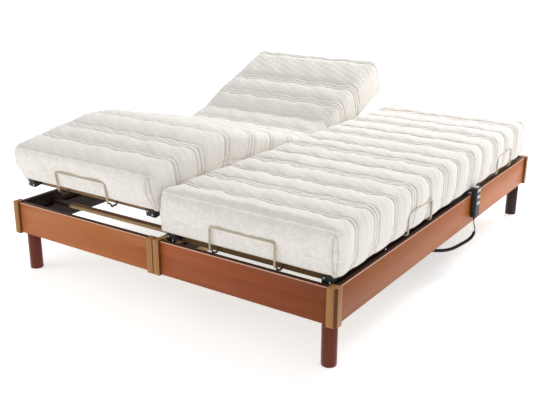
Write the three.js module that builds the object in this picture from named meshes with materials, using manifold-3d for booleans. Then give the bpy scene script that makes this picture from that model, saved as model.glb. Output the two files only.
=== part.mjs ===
// Twin adjustable bed base: two 800 x 2000 mm units side by side in one veneered frame.
// Each unit has a fixed seat, a back section, a thigh section and a calf section, raised by a
// twin drive through two lifting shafts. Millimetres, +Z up, +Y from foot to head, origin on the
// floor under the centre of the bed.

import * as THREE from 'three';
import { mergeVertices } from 'three/addons/utils/BufferGeometryUtils.js';
import Module from 'manifold-3d';

const wasm = await Module();
wasm.setup();

// ---- driving dimensions -------------------------------------------------------------------

const FRAME_WIDTH = 1650; // over the corner posts
const FRAME_LENGTH = 2060;
const PROUD = 10; // the posts stand this far out of the rails
const POST = 30; // width of a post's face
const RAIL_THICK = 22;
const RAIL_LOW = 177;
const RAIL_HIGH = 318;
const CENTRE_RAIL = [2, 29]; // its two faces, beside the groove between the units
const POST_OVER = 3.5; // the posts reach this far above and below the rails
const GAP = 0.3; // between pieces that touch

const LEG_RADIUS = 29;
const LEG_INSET = 53; // leg centre to the frame's outer faces

const UNIT_CENTRE = 411; // unit centre line to the bed's centre line
const UNIT_HALF = 382; // unit centre line to the outer rail's inner face
const BAR_OUT = 370; // outer face of the sections' side bars
const BAR_IN = 352;
const BAR_LOW = 303;
const BAR_HIGH = 337;
const HINGE_Z = 320;
const SLAT_TOP = 345;
const SEAT_HINGE_Y = 50; // between seat and thigh
const BACK_HINGE_Y = 250; // between seat and back
const KNEE_Y = -560;
const SECTION_END = 980; // head and foot ends of the sections

const MATTRESS_HALF_LENGTH = 1000;
const MATTRESS_IN = 5; // from the bed's centre line
const MATTRESS_OUT = 805;
const MATTRESS_LOW = SLAT_TOP + GAP;
const MATTRESS_TOP = 515;

const BACK_MAX = 60; // degrees above flat
const THIGH_MAX = 30;
const KNEE_RATIO = 1.63; // the calf turns down this much faster than the thigh turns up
const BACK_RAISED = 22; // the left unit rests raised
const THIGH_RAISED = 12.7;

const PIN_RADIUS = 5;
const EYE_RADIUS = 5.6;
const SHAFT_RADIUS = 12;
const SHAFT_EYE_RADIUS = 13;
const SHAFT_DROP = 38; // lifting shafts below the hinges
const BACK_SHAFT_SHIFT = 22; // and towards the section that they lift
const LEG_SHAFT_SHIFT = 10;
const WIRE_RADIUS = 4;

// ---- materials ----------------------------------------------------------------------------

const finish = (color, roughness, metalness = 0) =>
  new THREE.MeshStandardMaterial({ color, roughness, metalness });

const CHERRY = finish(0x9c5334, 0.45);
const BEECH = finish(0xc39a66, 0.55);
const BIRCH = finish(0xd8bf92, 0.6);
const LEG_WOOD = finish(0x7c3f28, 0.4);
const IVORY = finish(0xd9cfae, 0.35, 0.2);
const STEEL = finish(0x4a4c4e, 0.4, 0.8);
const BLACK_PLASTIC = finish(0x17181a, 0.5);
const GREY_PLASTIC = finish(0xb9bbbd, 0.5);
const TICKING = finish(0xe4e0d6, 0.9);
const RUBBER = finish(0x101112, 0.7);

// ---- solids -------------------------------------------------------------------------------

const bare = (geometry) => {
  geometry.deleteAttribute('normal');
  geometry.deleteAttribute('uv');
  return mergeVertices(geometry, 1e-3);
};

const solid = (geometry) => {
  const merged = bare(geometry);
  const vertProperties = new Float32Array(merged.attributes.position.array);
  const triVerts = new Uint32Array(merged.index.array);
  return new wasm.Manifold(new wasm.Mesh({ numProp: 3, vertProperties, triVerts }));
};

const geometryOf = (manifold) => {
  const { vertProperties, triVerts } = manifold.getMesh();
  const geometry = new THREE.BufferGeometry();
  geometry.setAttribute('position', new THREE.BufferAttribute(vertProperties, 3));
  geometry.setIndex(new THREE.BufferAttribute(triVerts, 1));
  geometry.computeVertexNormals();
  return geometry;
};

const join = (...pieces) => pieces.reduce((all, piece) => all.add(piece));
const cut = (body, ...tools) => tools.reduce((left, tool) => left.subtract(tool), body);

const block = (x0, x1, y0, y1, z0, z1) => {
  const size = [Math.abs(x1 - x0), Math.abs(y1 - y0), Math.abs(z1 - z0)];
  const box = new THREE.BoxGeometry(...size);
  box.translate((x0 + x1) / 2, (y0 + y1) / 2, (z0 + z1) / 2);
  return solid(box);
};

// An outline in Y and Z, extruded along X.
const plate = (outline, x0, x1) => {
  const low = Math.min(x0, x1);
  const depth = Math.abs(x1 - x0);
  const geometry = new THREE.ExtrudeGeometry(outline, { depth, bevelEnabled: false, curveSegments: 6 });
  const turned = new THREE.Matrix4().makeBasis(
    new THREE.Vector3(0, 1, 0),
    new THREE.Vector3(0, 0, 1),
    new THREE.Vector3(1, 0, 0),
  );
  geometry.applyMatrix4(turned);
  geometry.translate(low, 0, 0);
  return solid(geometry);
};

// An outline in X and Y, extruded upwards.
const prism = (points, z0, z1) => {
  const outline = new THREE.Shape(points.map(([x, y]) => new THREE.Vector2(x, y)));
  const geometry = new THREE.ExtrudeGeometry(outline, { depth: z1 - z0, bevelEnabled: false });
  geometry.translate(0, 0, z0);
  return solid(geometry);
};

const polygon = (points) => new THREE.Shape(points.map(([y, z]) => new THREE.Vector2(y, z)));

// A round bar along X.
const rod = (x0, x1, y, z, radius, sides = 12) => {
  const geometry = new THREE.CylinderGeometry(radius, radius, Math.abs(x1 - x0), sides);
  geometry.rotateZ(Math.PI / 2);
  geometry.translate((x0 + x1) / 2, y, z);
  return solid(geometry);
};

// A path through given points, sampled at exactly those points.
class WirePath extends THREE.Curve {
  constructor(points) {
    super();
    this.points = points;
  }

  getPoint(t, target = new THREE.Vector3()) {
    const last = this.points.length - 1;
    const place = Math.min(Math.max(t, 0), 1) * last;
    const index = Math.min(Math.floor(place), last - 1);
    return target.lerpVectors(this.points[index], this.points[index + 1], place - index);
  }

  getPointAt(u, target) {
    return this.getPoint(u, target);
  }

  getTangentAt(u, target) {
    return this.getTangent(u, target);
  }
}

// Rounds each corner of a route with a curve of the given reach.
const rounded = (route, reach, steps = 2) => {
  const corners = route.map((p) => new THREE.Vector3(...p));
  const points = [corners[0]];
  for (let i = 1; i < corners.length - 1; i += 1) {
    const before = corners[i - 1].clone().sub(corners[i]);
    const after = corners[i + 1].clone().sub(corners[i]);
    const cutBack = Math.min(reach, before.length() * 0.45, after.length() * 0.45);
    const start = corners[i].clone().add(before.setLength(cutBack));
    const end = corners[i].clone().add(after.setLength(cutBack));
    const bend = new THREE.QuadraticBezierCurve3(start, corners[i], end);
    points.push(...bend.getPoints(steps));
  }
  points.push(corners[corners.length - 1]);
  return points;
};

const tube = (points, radius, sides = 8) => {
  const ring = [];
  for (let i = 0; i < sides; i += 1) {
    const angle = (2 * Math.PI * i) / sides;
    ring.push(new THREE.Vector2(radius * Math.cos(angle), radius * Math.sin(angle)));
  }
  const options = { steps: points.length - 1, extrudePath: new WirePath(points), bevelEnabled: false };
  return new THREE.ExtrudeGeometry(new THREE.Shape(ring), options);
};

const smooth = (route, steps) => {
  const curve = new THREE.CatmullRomCurve3(route.map((p) => new THREE.Vector3(...p)));
  return curve.getSpacedPoints(steps);
};

const named = (name, shape, material) => {
  const geometry = shape.isBufferGeometry ? shape : geometryOf(shape);
  const mesh = new THREE.Mesh(geometry, material);
  mesh.name = name;
  return mesh;
};

// A group that turns its contents about a line along X.
const pivot = (y, z, degrees) => {
  const turned = new THREE.Group();
  turned.position.set(0, y, z);
  turned.rotation.x = THREE.MathUtils.degToRad(degrees);
  const contents = new THREE.Group();
  contents.position.set(0, -y, -z);
  turned.add(contents);
  return { turned, contents };
};

// ---- outer frame --------------------------------------------------------------------------

const HALF_WIDTH = FRAME_WIDTH / 2;
const HALF_LENGTH = FRAME_LENGTH / 2;
const RAIL_OUT_X = HALF_WIDTH - PROUD;
const RAIL_IN_X = RAIL_OUT_X - RAIL_THICK;
const RAIL_OUT_Y = HALF_LENGTH - PROUD;
const RAIL_IN_Y = RAIL_OUT_Y - RAIL_THICK;
const POST_LOW = RAIL_LOW - POST_OVER;
const POST_HIGH = RAIL_HIGH + POST_OVER;
const STRIP_IN = 2; // the two middle strips leave a narrow groove
const STRIP_OUT = STRIP_IN + POST;
const LEG_X = HALF_WIDTH - LEG_INSET;
const LEG_Y = HALF_LENGTH - LEG_INSET;
const SIDES = { left: -1, right: 1 };
const ENDS = { foot: -1, head: 1 };

// Inner edge of a corner's end strip: the right posts are notched at the corner, the left ones not.
const stripInX = (sx) => sx * ((sx > 0 ? RAIL_OUT_X : HALF_WIDTH) - POST);

// Corner post: an L of two proud strips and the glue block behind that takes the leg's bolt.
const cornerPost = (sx, sy) => {
  const outX = sx * HALF_WIDTH;
  const railX = sx * RAIL_OUT_X;
  const inX = stripInX(sx);
  const outY = sy * HALF_LENGTH;
  const railY = sy * RAIL_OUT_Y;
  const inY = sy * (RAIL_OUT_Y - POST);
  const corner = sx > 0 ? [[outX, railY], [railX, railY], [railX, outY]] : [[outX, outY]];
  const outline = [[outX, inY], ...corner, [inX, outY], [inX, inY]];
  if (sx * sy > 0) outline.reverse();
  const strips = prism(outline, POST_LOW, POST_HIGH);
  const blockZ = [RAIL_LOW + 3, RAIL_LOW + 110];
  const glueBlock = block(
    sx * (RAIL_IN_X - GAP), sx * (LEG_X - 35), sy * (RAIL_IN_Y - GAP), sy * (LEG_Y - 38), ...blockZ,
  );
  const tongue = block(
    sx * (RAIL_IN_X - 3), sx * (HALF_WIDTH - POST + 2), sy * (RAIL_IN_Y - GAP), inY + sy * GAP, ...blockZ,
  );
  const boltHole = block(
    sx * (LEG_X - 6), sx * (LEG_X + 6), sy * (LEG_Y - 6), sy * (LEG_Y + 6), 0, RAIL_LOW + 55,
  );
  return cut(join(strips, tongue, glueBlock), boltHole);
};

// Turned leg with an eased foot and, at a corner, a bolt on top.
const leg = (x, y, height, bolt) => {
  const profile = [
    [0, 0], [LEG_RADIUS - 3, 0], [LEG_RADIUS - 0.8, 0.9], [LEG_RADIUS, 3.2], [LEG_RADIUS, height],
  ];
  if (bolt > 0) profile.push([PIN_RADIUS, height], [PIN_RADIUS, height + bolt], [0, height + bolt]);
  else profile.push([0, height]);
  const geometry = new THREE.LatheGeometry(profile.map(([r, z]) => new THREE.Vector2(r, z)), 24);
  geometry.rotateX(Math.PI / 2);
  geometry.translate(x, y, 0);
  return solid(geometry);
};

const outerFrame = () => {
  const group = new THREE.Group();
  const railZ = [RAIL_LOW, RAIL_HIGH];
  for (const [end, sy] of Object.entries(ENDS)) {
    for (const [side, sx] of Object.entries(SIDES)) {
      const outX = stripInX(sx) - sx * GAP;
      const inX = sx * (STRIP_OUT + GAP);
      const rail = block(inX, outX, sy * RAIL_IN_Y, sy * RAIL_OUT_Y, ...railZ);
      const strip = block(
        sx * STRIP_IN, sx * STRIP_OUT, sy * RAIL_IN_Y, sy * HALF_LENGTH, POST_LOW, POST_HIGH,
      );
      group.add(named(`${end}_rail_${side}`, rail, CHERRY));
      group.add(named(`${end}_strip_${side}`, strip, BEECH));
      group.add(named(`corner_post_${end}_${side}`, cornerPost(sx, sy), BEECH));
      const cornerLeg = leg(sx * LEG_X, sy * LEG_Y, POST_LOW - GAP, 50);
      group.add(named(`leg_${end}_${side}`, cornerLeg, LEG_WOOD));
    }
  }
  const railEnd = RAIL_OUT_Y - POST - GAP;
  for (const [side, sx] of Object.entries(SIDES)) {
    const rail = block(sx * RAIL_IN_X, sx * RAIL_OUT_X, -railEnd, railEnd, ...railZ);
    group.add(named(`side_rail_${side}`, rail, CHERRY));
  }
  const centreEnd = RAIL_IN_Y - GAP;
  const centreRail = block(CENTRE_RAIL[0], CENTRE_RAIL[1], -centreEnd, centreEnd, ...railZ);
  group.add(named('centre_rail', centreRail, CHERRY));
  group.add(named('leg_centre', leg(0, 0, RAIL_LOW - GAP, 0), LEG_WOOD));
  return group;
};

// ---- one unit -----------------------------------------------------------------------------

const BACK_SHAFT = [BACK_HINGE_Y + BACK_SHAFT_SHIFT, HINGE_Z - SHAFT_DROP];
const LEG_SHAFT = [SEAT_HINGE_Y - LEG_SHAFT_SHIFT, HINGE_Z - SHAFT_DROP];
const LEDGE_LOW = 225;
const LEDGE_HIGH = 262;
const LEDGE_END = 930;
const LEDGE_WIDTH = 20;
const END_BAR_NEAR = 820; // the cross bars near the foot and the head
const END_BAR_FAR = 850;
const END_BAR_LOW = 271;
const END_BAR_HIGH = 286;
const BEAM_WIDTH = 40;
const BEAM_THICK = 16;
const CALF_BEAM_Y = -945; // an upright board, set back under the mattress
const CALF_BEAM_THICK = 20;
const CRADLE_BARS = [-150, 440]; // the drive hangs between these two cross bars
const ROLLER_RADIUS = 10;
const ROLLER_RISE = 10.4; // roller centre above its shaft when flat
const BACK_ARM = 250;
const LEG_ARM = 200;

// Distance from the unit's centre line, outwards, to X on the bed.
const across = (side, v) => side * (UNIT_CENTRE + v);

const slab = (side, v0, v1, y0, y1, z0, z1) =>
  block(across(side, v0), across(side, v1), y0, y1, z0, z1);

const bothBars = (side, build) => join(build(1), build(-1));

// A side bar with a half round end about each hinge that it carries.
const barOutline = (y0, y1, roundLow, roundHigh) => {
  const radius = (BAR_HIGH - BAR_LOW) / 2;
  const middle = (BAR_HIGH + BAR_LOW) / 2;
  const shape = new THREE.Shape();
  shape.moveTo(y0, BAR_LOW);
  shape.lineTo(y1, BAR_LOW);
  if (roundHigh) shape.absarc(y1, middle, radius, -Math.PI / 2, Math.PI / 2, false);
  else shape.lineTo(y1, BAR_HIGH);
  shape.lineTo(y0, BAR_HIGH);
  if (roundLow) shape.absarc(y0, middle, radius, Math.PI / 2, (3 * Math.PI) / 2, false);
  return shape;
};

const sideBars = (side, y0, y1, roundLow, roundHigh) => bothBars(side, (edge) => {
  const outline = barOutline(y0, y1, roundLow, roundHigh);
  return plate(outline, across(side, edge * BAR_IN), across(side, edge * BAR_OUT));
});

const eyes = (side, y, z, radius) => rod(across(side, -400), across(side, 400), y, z, radius, 16);

// Cross bar near the foot or head end, on two bearers that stand on the ledges.
const endBar = (side, end, innerReach, outerReach) => {
  const place = [end * END_BAR_NEAR, end * END_BAR_FAR].sort((a, b) => a - b);
  const bar = slab(side, -innerReach, outerReach, ...place, END_BAR_LOW, END_BAR_HIGH);
  const bearers = bothBars(side, (edge) =>
    slab(side, edge * (UNIT_HALF - GAP - LEDGE_WIDTH), edge * (UNIT_HALF - GAP), ...place,
      LEDGE_HIGH - 1, END_BAR_LOW + 1));
  return [bar, bearers];
};

// Fixed frame: ledges along the rails, cross bars, hinge plates and the seat.
const fixedFrame = (side) => {
  const innerReach = side > 0 ? UNIT_HALF - GAP : UNIT_CENTRE + CENTRE_RAIL[0] - GAP;
  const outerReach = UNIT_HALF - GAP;
  const ledgeReach = outerReach - LEDGE_WIDTH;
  const ledges = bothBars(side, (edge) => slab(
    side, edge * ledgeReach, edge * outerReach, -LEDGE_END, LEDGE_END, LEDGE_LOW, LEDGE_HIGH,
  ));
  const endBars = [-1, 1].flatMap((end) => endBar(side, end, innerReach, outerReach));
  const cradle = CRADLE_BARS.map((y) =>
    slab(side, -outerReach, outerReach, y - 12, y + 12, LEDGE_LOW, LEDGE_HIGH));
  const plates = bothBars(side, (edge) =>
    slab(side, edge * (outerReach - 8), edge * outerReach, 10, 300, LEDGE_LOW, BAR_HIGH));
  const seatBars = bothBars(side, (edge) =>
    slab(side, edge * BAR_IN, edge * (outerReach - 6), 71, 229, BAR_LOW, BAR_HIGH));
  const seatCross = [[75, 100], [200, 225]].map(([y0, y1]) =>
    slab(side, -BAR_IN - 2, BAR_IN + 2, y0, y1, BAR_LOW, BAR_HIGH));
  const seatSlats = [[84, 136], [164, 216]].map(([y0, y1]) =>
    slab(side, -BAR_OUT, BAR_OUT, y0, y1, BAR_HIGH - 1, SLAT_TOP));
  const pins = [SEAT_HINGE_Y, BACK_HINGE_Y].flatMap((y) => [1, -1].map((edge) =>
    rod(across(side, edge * (outerReach - 6)), across(side, edge * (BAR_IN + 3)), y, HINGE_Z, PIN_RADIUS)));
  const body = join(ledges, ...endBars, ...cradle, plates, seatBars, ...seatCross, ...seatSlats, ...pins);
  return cut(body, eyes(side, ...BACK_SHAFT, SHAFT_EYE_RADIUS), eyes(side, ...LEG_SHAFT, SHAFT_EYE_RADIUS));
};

const crossBoard = (side, y0, y1, z0, z1) => slab(side, -BAR_IN - 2, BAR_IN + 2, y0, y1, z0, z1);

const backFrame = (side) => {
  const bars = sideBars(side, BACK_HINGE_Y, SECTION_END, true, false);
  const nearBoard = crossBoard(side, 276, 300, BAR_LOW, BAR_HIGH);
  const liftBoard = crossBoard(side, 462, 540, BAR_LOW, BAR_LOW + 16);
  const endBeam = crossBoard(side, SECTION_END - BEAM_WIDTH, SECTION_END, BAR_HIGH - BEAM_THICK, BAR_HIGH);
  return cut(join(bars, nearBoard, liftBoard, endBeam), eyes(side, BACK_HINGE_Y, HINGE_Z, EYE_RADIUS));
};

const thighFrame = (side) => {
  const bars = sideBars(side, KNEE_Y, SEAT_HINGE_Y, true, true);
  const nearBoard = crossBoard(side, 0, 24, BAR_LOW, BAR_HIGH);
  const liftBoard = crossBoard(side, -180, -120, BAR_LOW, BAR_LOW + 16);
  const kneeBoard = crossBoard(side, -536, -512, BAR_LOW, BAR_HIGH);
  const kneePins = bothBars(side, (edge) => rod(
    across(side, edge * (BAR_IN + 4)), across(side, edge * (BAR_IN - 8)), KNEE_Y, HINGE_Z, PIN_RADIUS,
  ));
  const frame = join(bars, nearBoard, liftBoard, kneeBoard);
  return join(cut(frame, eyes(side, SEAT_HINGE_Y, HINGE_Z, EYE_RADIUS)), kneePins);
};

// Knee strap: a steel tongue on the calf's side bar that turns on the thigh's pin.
const kneeStrap = (side, edge) => {
  const outline = new THREE.Shape();
  outline.moveTo(KNEE_Y - 70, HINGE_Z - 12);
  outline.lineTo(KNEE_Y, HINGE_Z - 12);
  outline.absarc(KNEE_Y, HINGE_Z, 12, -Math.PI / 2, Math.PI / 2, false);
  outline.lineTo(KNEE_Y - 70, HINGE_Z + 12);
  return plate(outline, across(side, edge * (BAR_IN - 6.5)), across(side, edge * (BAR_IN - 0.5)));
};

const calfFrame = (side) => {
  const bars = bothBars(side, (edge) => plate(
    barOutline(-SECTION_END, KNEE_Y - 24, false, false),
    across(side, edge * (BAR_IN - 1.5)), across(side, edge * BAR_OUT),
  ));
  const nearBoard = crossBoard(side, KNEE_Y - 66, KNEE_Y - 42, BAR_LOW, BAR_HIGH);
  const endBeam = crossBoard(side, CALF_BEAM_Y, CALF_BEAM_Y + CALF_BEAM_THICK, BAR_LOW, BAR_HIGH);
  const straps = bothBars(side, (edge) => kneeStrap(side, edge));
  return cut(join(bars, nearBoard, endBeam, straps), eyes(side, KNEE_Y, HINGE_Z, EYE_RADIUS));
};

// Cross slats on two rubber strips that lie along the side bars.
const SLAT_WIDTH = 52;
const slatPanel = (side, y0, y1, count) => {
  const strips = bothBars(side, (edge) =>
    slab(side, edge * (BAR_IN + 1), edge * (BAR_OUT - 1), y0, y1, BAR_HIGH + GAP, BAR_HIGH + 3.5));
  const pitch = (y1 - y0 - SLAT_WIDTH) / (count - 1);
  const slats = [];
  for (let i = 0; i < count; i += 1) {
    const y = y0 + i * pitch;
    slats.push(slab(side, -BAR_OUT, BAR_OUT, y, y + SLAT_WIDTH, BAR_HIGH + GAP, SLAT_TOP));
  }
  return join(strips, ...slats);
};

// ---- mattress blocks ----------------------------------------------------------------------

// Half of the wedge that two blocks leave over a hinge that closes by the given angle.
const wedgeAt = (z, degrees) =>
  1 + (z - HINGE_Z) * Math.tan(THREE.MathUtils.degToRad(degrees / 2 + 0.5));

const MATTRESS_EDGE = 30; // rounded upper edges at head and foot

const mattressBlock = (side, outline) =>
  plate(polygon(outline), side * MATTRESS_IN, side * MATTRESS_OUT);

const calfMattress = (side) => mattressBlock(side, [
  [-MATTRESS_HALF_LENGTH, MATTRESS_LOW], [KNEE_Y - 0.5, MATTRESS_LOW], [KNEE_Y - 0.5, MATTRESS_TOP],
  [-MATTRESS_HALF_LENGTH + MATTRESS_EDGE, MATTRESS_TOP],
  [-MATTRESS_HALF_LENGTH, MATTRESS_TOP - MATTRESS_EDGE],
]);

const thighMattress = (side) => mattressBlock(side, [
  [KNEE_Y + 0.5, MATTRESS_LOW],
  [SEAT_HINGE_Y - wedgeAt(MATTRESS_LOW, THIGH_MAX), MATTRESS_LOW],
  [SEAT_HINGE_Y - wedgeAt(MATTRESS_TOP, THIGH_MAX), MATTRESS_TOP],
  [KNEE_Y + 0.5, MATTRESS_TOP],
]);

const seatMattress = (side) => mattressBlock(side, [
  [SEAT_HINGE_Y + wedgeAt(MATTRESS_LOW, THIGH_MAX), MATTRESS_LOW],
  [BACK_HINGE_Y - wedgeAt(MATTRESS_LOW, BACK_MAX), MATTRESS_LOW],
  [BACK_HINGE_Y - wedgeAt(MATTRESS_TOP, BACK_MAX), MATTRESS_TOP],
  [SEAT_HINGE_Y + wedgeAt(MATTRESS_TOP, THIGH_MAX), MATTRESS_TOP],
]);

const backMattress = (side) => mattressBlock(side, [
  [BACK_HINGE_Y + wedgeAt(MATTRESS_LOW, BACK_MAX), MATTRESS_LOW],
  [MATTRESS_HALF_LENGTH, MATTRESS_LOW],
  [MATTRESS_HALF_LENGTH, MATTRESS_TOP - MATTRESS_EDGE],
  [MATTRESS_HALF_LENGTH - MATTRESS_EDGE, MATTRESS_TOP],
  [BACK_HINGE_Y + wedgeAt(MATTRESS_TOP, BACK_MAX), MATTRESS_TOP],
]);

// ---- mattress retainers -------------------------------------------------------------------

const FOOT_HOOP_HALF = 145;
const FOOT_HOOP_Y = -1008;
const FOOT_HOOP_TOP = 424;
const SIDE_HOOP_X = 810.5;
const SIDE_HOOP_TOP = 420;

// One leg of the foot hoop: down the mattress, a double kink over the rail, and a tail that is
// screwed under the end beam.
const FOOT_HOOP_LEG = [
  [FOOT_HOOP_Y, 332], [-994, 328], [-989, 308], [-979, 314], [-968, 306], [-948.5, 331],
];

const footHoop = (side) => {
  const left = across(side, 4 - FOOT_HOOP_HALF);
  const right = across(side, 4 + FOOT_HOOP_HALF);
  const route = [
    ...[...FOOT_HOOP_LEG].reverse().map(([y, z]) => [left, y, z]),
    [left, FOOT_HOOP_Y, FOOT_HOOP_TOP],
    [right, FOOT_HOOP_Y, FOOT_HOOP_TOP],
    ...FOOT_HOOP_LEG.map(([y, z]) => [right, y, z]),
  ];
  return tube(rounded(route, 12), WIRE_RADIUS);
};

// The side hoops' legs turn in over the rail and stop at the side bar.
const sideHoop = (side, y0, y1) => {
  const inner = side * (UNIT_CENTRE + BAR_OUT + GAP);
  const outer = side * SIDE_HOOP_X;
  const route = [
    [inner, y0, 329], [outer, y0, 329], [outer, y0, SIDE_HOOP_TOP],
    [outer, y1, SIDE_HOOP_TOP], [outer, y1, 329], [inner, y1, 329],
  ];
  return tube(rounded(route, 12), WIRE_RADIUS);
};

// ---- lifting gear -------------------------------------------------------------------------

// Lifting shaft: a tube across the unit with two arms that carry rollers under the section's
// lift board, and a crank in the middle that the drive pushes.
const lifter = (side, [y, z], reach) => {
  const shaft = rod(across(side, 379), across(side, -379), y, z, SHAFT_RADIUS);
  const tip = y + reach;
  const arms = [];
  for (const v of [-240, 240]) {
    const outline = polygon([
      [y, z - 9], [tip, z + ROLLER_RISE - 7], [tip, z + ROLLER_RISE + 7], [y, z + 9],
    ]);
    arms.push(plate(outline, across(side, v - 5), across(side, v + 5)));
    arms.push(rod(across(side, v - 18), across(side, v + 18), tip, z + ROLLER_RISE, ROLLER_RADIUS));
  }
  const crank = slab(side, -12, 12, y - 7, y + 7, z - 50, z);
  return join(shaft, ...arms, crank);
};

// Twin drive: a housing between the cradle bars with a pocket for each crank, lugs that rest on
// the bars, and a mains inlet and a handset socket on its outer side.
const DRIVE_HALF = 85;
const DRIVE_LOW = 140;
const DRIVE_HIGH = 262;
const SOCKET_Y = 150;
const SOCKET_Z = 190;
const INLET_Y = 53;
const POCKET_LOW = 222;
const POCKET_HALF = 20;
const RIB_AT = [-60, 60];
const RIB_HALF = 9;
const LUG = 22; // the ribs run out over the cradle bars as lugs
const driveHousing = (side) => {
  const [low, high] = [CRADLE_BARS[0] + 14, CRADLE_BARS[1] - 14];
  const body = slab(side, -DRIVE_HALF, DRIVE_HALF, low, high, DRIVE_LOW, DRIVE_HIGH);
  const ribs = RIB_AT.flatMap((v) => [
    slab(side, v - RIB_HALF, v + RIB_HALF, low - LUG, high + LUG, DRIVE_HIGH + GAP, DRIVE_HIGH + 6),
    slab(side, v - RIB_HALF, v + RIB_HALF, low, high, DRIVE_HIGH - 4, DRIVE_HIGH + 6),
  ]);
  const pocket = (y0, y1) => slab(side, -POCKET_HALF, POCKET_HALF, y0, y1, POCKET_LOW, HINGE_Z - 20);
  const backPocket = pocket(BACK_SHAFT[0] - 16, BACK_SHAFT[0] + 70);
  const legPocket = pocket(LEG_SHAFT[0] - 50, LEG_SHAFT[0] + 16);
  const port = (v0, v1, y, halfY, halfZ) =>
    slab(side, v0, v1, y - halfY, y + halfY, SOCKET_Z - halfZ, SOCKET_Z + halfZ);
  const socket = port(DRIVE_HALF - 2, DRIVE_HALF + 10, SOCKET_Y, 14, 12);
  const inlet = port(DRIVE_HALF - 14, DRIVE_HALF + 2, INLET_Y, 13, 10);
  return cut(join(body, ...ribs, socket), backPocket, legPocket, inlet);
};

const unit = (sideName, raised) => {
  const side = SIDES[sideName];
  const group = new THREE.Group();
  const add = (to, name, shape, material) => to.add(named(`${name}_${sideName}`, shape, material));
  const thighAngle = raised ? THIGH_RAISED : 0;
  const backAngle = raised ? BACK_RAISED : 0;

  add(group, 'fixed_frame', fixedFrame(side), BEECH);
  add(group, 'drive_housing', driveHousing(side), BLACK_PLASTIC);
  add(group, 'mattress_seat', seatMattress(side), TICKING);

  const back = pivot(BACK_HINGE_Y, HINGE_Z, backAngle);
  add(back.contents, 'back_frame', backFrame(side), BEECH);
  add(back.contents, 'back_slats', slatPanel(side, 280, 965, 8), BIRCH);
  add(back.contents, 'mattress_back', backMattress(side), TICKING);
  add(back.contents, 'back_hoop', sideHoop(side, 560, 750), IVORY);

  const thigh = pivot(SEAT_HINGE_Y, HINGE_Z, -thighAngle);
  add(thigh.contents, 'thigh_frame', thighFrame(side), BEECH);
  add(thigh.contents, 'thigh_slats', slatPanel(side, KNEE_Y + 22, 18, 6), BIRCH);
  add(thigh.contents, 'mattress_thigh', thighMattress(side), TICKING);
  add(thigh.contents, 'thigh_hoop', sideHoop(side, -450, -230), IVORY);

  const calf = pivot(KNEE_Y, HINGE_Z, KNEE_RATIO * thighAngle);
  add(calf.contents, 'calf_frame', calfFrame(side), BEECH);
  add(calf.contents, 'calf_slats', slatPanel(side, -965, KNEE_Y - 28, 4), BIRCH);
  add(calf.contents, 'mattress_calf', calfMattress(side), TICKING);
  add(calf.contents, 'foot_hoop', footHoop(side), IVORY);
  thigh.contents.add(calf.turned);

  const backShaft = pivot(...BACK_SHAFT, backAngle);
  add(backShaft.contents, 'back_lifter', lifter(side, BACK_SHAFT, BACK_ARM), STEEL);
  const legShaft = pivot(...LEG_SHAFT, -thighAngle);
  add(legShaft.contents, 'leg_lifter', lifter(side, LEG_SHAFT, -LEG_ARM), STEEL);

  group.add(back.turned, thigh.turned, backShaft.turned, legShaft.turned);
  return group;
};

// ---- handset ------------------------------------------------------------------------------

const HANDSET_X = [817, 843];
const HANDSET_Y = [209, 261];
const HANDSET_Z = [212, 352];
const BUTTON_LENGTH = 34;
const BUTTON_TOP_Z = 338;
const BUTTON_PITCH = 30;
const BUTTON_COUNT = 3;
const LEAD_RADIUS = 2.6;
const CURL_RADIUS = 7;

// Handset body with eased edges, a trough for each rocker and a strain relief below.
const handsetBody = () => {
  const [x0, x1] = HANDSET_X;
  const [y0, y1] = HANDSET_Y;
  const ease = 6;
  const outline = [
    [x0, y0 + ease / 2], [x0 + ease / 2, y0], [x1 - ease, y0], [x1, y0 + ease],
    [x1, y1 - ease], [x1 - ease, y1], [x0 + ease / 2, y1], [x0, y1 - ease / 2],
  ];
  let body = prism(outline, ...HANDSET_Z);
  const middleY = (y0 + y1) / 2;
  for (let i = 0; i < BUTTON_COUNT; i += 1) {
    const z = BUTTON_TOP_Z - i * BUTTON_PITCH;
    const trough = block(
      x1 - 5, x1 + 5, middleY - BUTTON_LENGTH / 2 - 1.5, middleY + BUTTON_LENGTH / 2 + 1.5, z - 8, z + 8,
    );
    body = body.subtract(trough);
  }
  const relief = new THREE.CylinderGeometry(6.5, 4.2, 16, 12);
  relief.rotateX(Math.PI / 2);
  relief.translate((x0 + x1) / 2, middleY, HANDSET_Z[0] - 6);
  return join(body, solid(relief));
};

// Rocker with a shallow roof, so that either end can be pressed.
const rocker = (z) => {
  const [, x1] = HANDSET_X;
  const middleY = (HANDSET_Y[0] + HANDSET_Y[1]) / 2;
  const half = BUTTON_LENGTH / 2;
  const outline = [
    [x1 - 4.2, middleY], [x1 - 2.8, middleY + half], [x1 + 2.2, middleY + half],
    [x1 + 1.2, middleY], [x1 + 2.2, middleY - half], [x1 - 2.8, middleY - half],
  ];
  return prism(outline, z - 6.5, z + 6.5);
};

const LEAD_TOP = HANDSET_Z[0] - 14 - GAP;
// From the handset's strain relief to the top of the curl.
const LEAD_ROUTE = [
  [830, 235, LEAD_TOP], [830.5, 234, 187], [837, 226, 174], [845.5, 215.4, 163], [846.6, 212.5, 155.4],
];
// The curl hangs in a loop and goes in under the rail to the drive's socket.
const CURL_ROUTE = [
  [846.4, 212.2, 154], [844, 209, 138], [839, 196, 122], [833.6, 163, 115.5], [825, 114, 112.8],
  [814, 48, 112.2], [804, -12, 120], [793, -84, 139], [770, -128, 152], [735, -130, 158],
  [695, -95, 162], [655, -30, 167], [620, 40, 173], [590, 105, 180], [560, 143, 188],
  [532, 150, 190], [506.6, 150, 190],
];

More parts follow.
